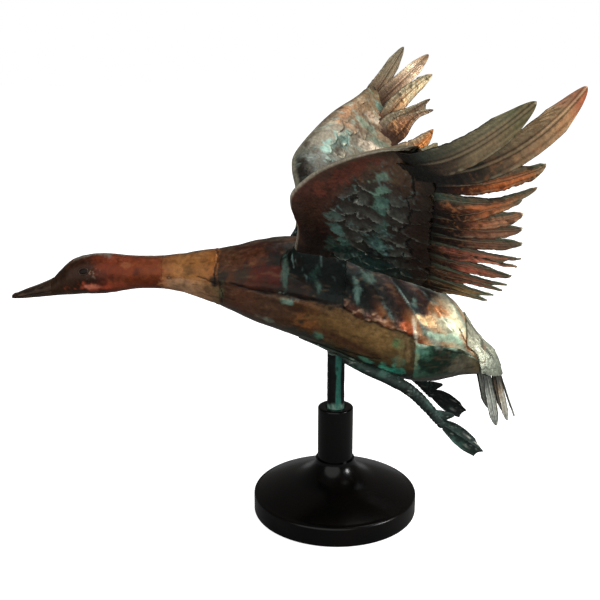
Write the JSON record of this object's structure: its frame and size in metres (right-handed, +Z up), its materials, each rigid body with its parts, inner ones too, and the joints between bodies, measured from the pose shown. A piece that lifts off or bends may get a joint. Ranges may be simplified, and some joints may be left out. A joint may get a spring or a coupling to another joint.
{
  "type": "duck statue",
  "caption": "Flying duck of formed patinated copper sheet with spread wings, turning on a spindle in a tall collar over a round black base.",
  "frame": {"origin": "middle of the underside of the base, on the axis that the bird turns about", "axes": "+Z up along the post, head towards -X and tail towards +X, +Y to the bird's right wing"},
  "size_m": [0.5427, 0.8108, 0.4971],
  "materials": {
    "felt": "dark felt",
    "black_enamel": "gloss black enamel over cast iron",
    "steel": "turned",
    "brass": "plain",
    "copper_post": "copper tube, black with green patina",
    "copper_bill": "copper, dark brown",
    "copper_head": "copper sheet, red-brown",
    "copper_sleeve": "copper sheet, golden brown",
    "copper_mantle": "copper sheet, dark red-brown",
    "copper_breast": "copper sheet, golden brown",
    "copper_belly": "copper sheet, dark green patina",
    "copper_back": "copper sheet, brown to pale green",
    "copper_tail": "copper sheet, pale sage patina",
    "copper_wing": "copper sheet, charcoal and teal patina",
    "copper_feather": "copper sheet, brown to bright orange",
    "copper_leg": "copper, dark grey-green patina"
  },
  "bodies": {
    "stand": {"felt_pad": "felt", "stand_foot": "black_enamel", "stand_collar": "black_enamel", "spindle_washer": "steel", "spindle_nut": "steel", "spindle_rod": "steel"},
    "figure": {"post_tube": "copper_post", "bearing_plug": "brass", "post_saddle": "brass", "head_right": "copper_head", "head_left": "copper_head", "bill": "copper_bill", "eye_right": "copper_bill", "eye_left": "copper_bill", "sleeve_upper": "copper_sleeve", "sleeve_lower": "copper_sleeve", "mantle_shell": "copper_mantle", "breast_shell": "copper_breast", "back_right": "copper_back", "back_left": "copper_back", "vent_shell": "copper_belly", "belly_plate": "copper_belly", "shoulder_right": "copper_wing", "shoulder_left": "copper_wing", "wing_upper_skin_right": "copper_wing", "wing_upper_skin_left": "copper_wing", "wing_lower_skin_right": "copper_wing", "wing_lower_skin_left": "copper_wing", "wing_feather_1_right": "copper_feather", "wing_feather_2_right": "copper_feather", "wing_feather_3_right": "copper_feather", "wing_feather_4_right": "copper_feather", "wing_feather_5_right": "copper_feather", "wing_feather_6_right": "copper_feather", "wing_feather_7_right": "copper_feather", "wing_feather_8_right": "copper_feather", "wing_feather_9_right": "copper_feather", "wing_feather_10_right": "copper_feather", "wing_feather_11_right": "copper_feather", "wing_feather_1_left": "copper_feather", "wing_feather_2_left": "copper_feather", "wing_feather_3_left": "copper_feather", "wing_feather_4_left": "copper_feather", "wing_feather_5_left": "copper_feather", "wing_feather_6_left": "copper_feather", "wing_feather_7_left": "copper_feather", "wing_feather_8_left": "copper_feather", "wing_feather_9_left": "copper_feather", "wing_feather_10_left": "copper_feather", "wing_feather_11_left": "copper_feather", "tail_coverts": "copper_tail", "tail_feather_1": "copper_tail", "tail_feather_2": "copper_tail", "tail_feather_3": "copper_tail", "tail_feather_4": "copper_tail", "tail_feather_5": "copper_tail", "foot_right": "copper_leg", "foot_left": "copper_leg", "leg_right": "copper_leg", "leg_left": "copper_leg"}
  },
  "joints": [
    {"name": "figure_turn", "type": "hinge", "parent": "stand", "child": "figure", "pos_m": [0, 0, 0.12], "axis": [0, 0, 1], "continuous": true}
  ]
}
